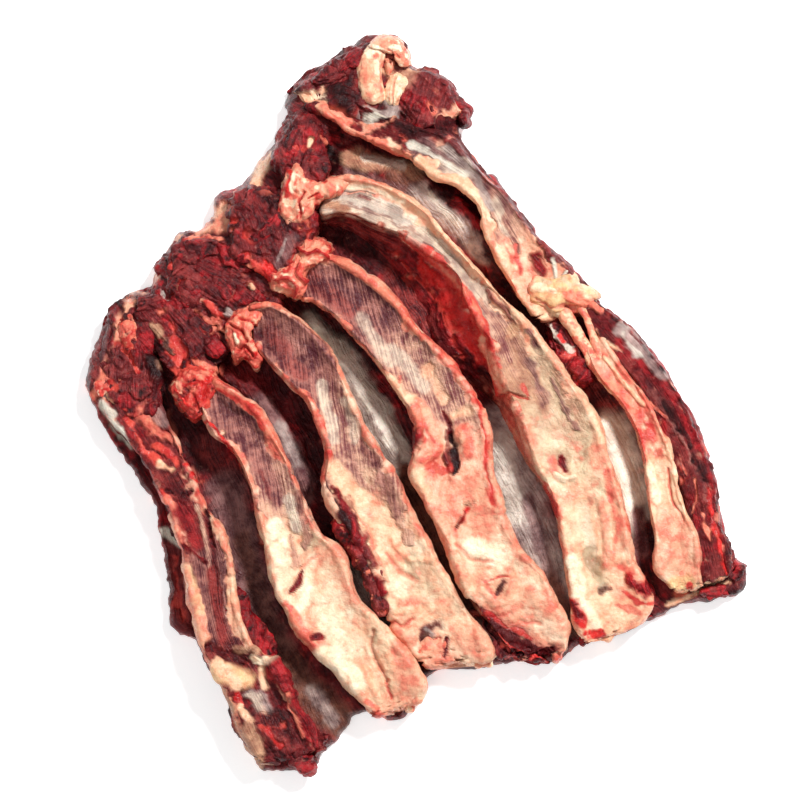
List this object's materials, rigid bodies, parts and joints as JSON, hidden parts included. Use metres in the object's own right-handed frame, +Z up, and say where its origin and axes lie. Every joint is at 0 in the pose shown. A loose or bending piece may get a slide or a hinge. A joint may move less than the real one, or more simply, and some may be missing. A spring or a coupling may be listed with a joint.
{
  "type": "beef rib fingers",
  "caption": "Slab of raw beef rib fingers: long raised strips of striped muscle and pale fat with deep rib channels between them, torn at the head end and cut at the tail.",
  "frame": {"origin": "centre of the slab's outline on its flat underside", "axes": "+Z up through the slab, +Y along the fingers from the cut tail end to the torn head end, +X to the border muscle"},
  "size_m": [0.4392, 0.5037, 0.0469],
  "materials": {
    "raw_rib_meat": "moist raw meat: cream and pink fat over dark red muscle, thin grey-white membrane in the channels"
  },
  "bodies": {
    "root": {"rib_finger_slab": "raw_rib_meat"}
  },
  "joints": []
}
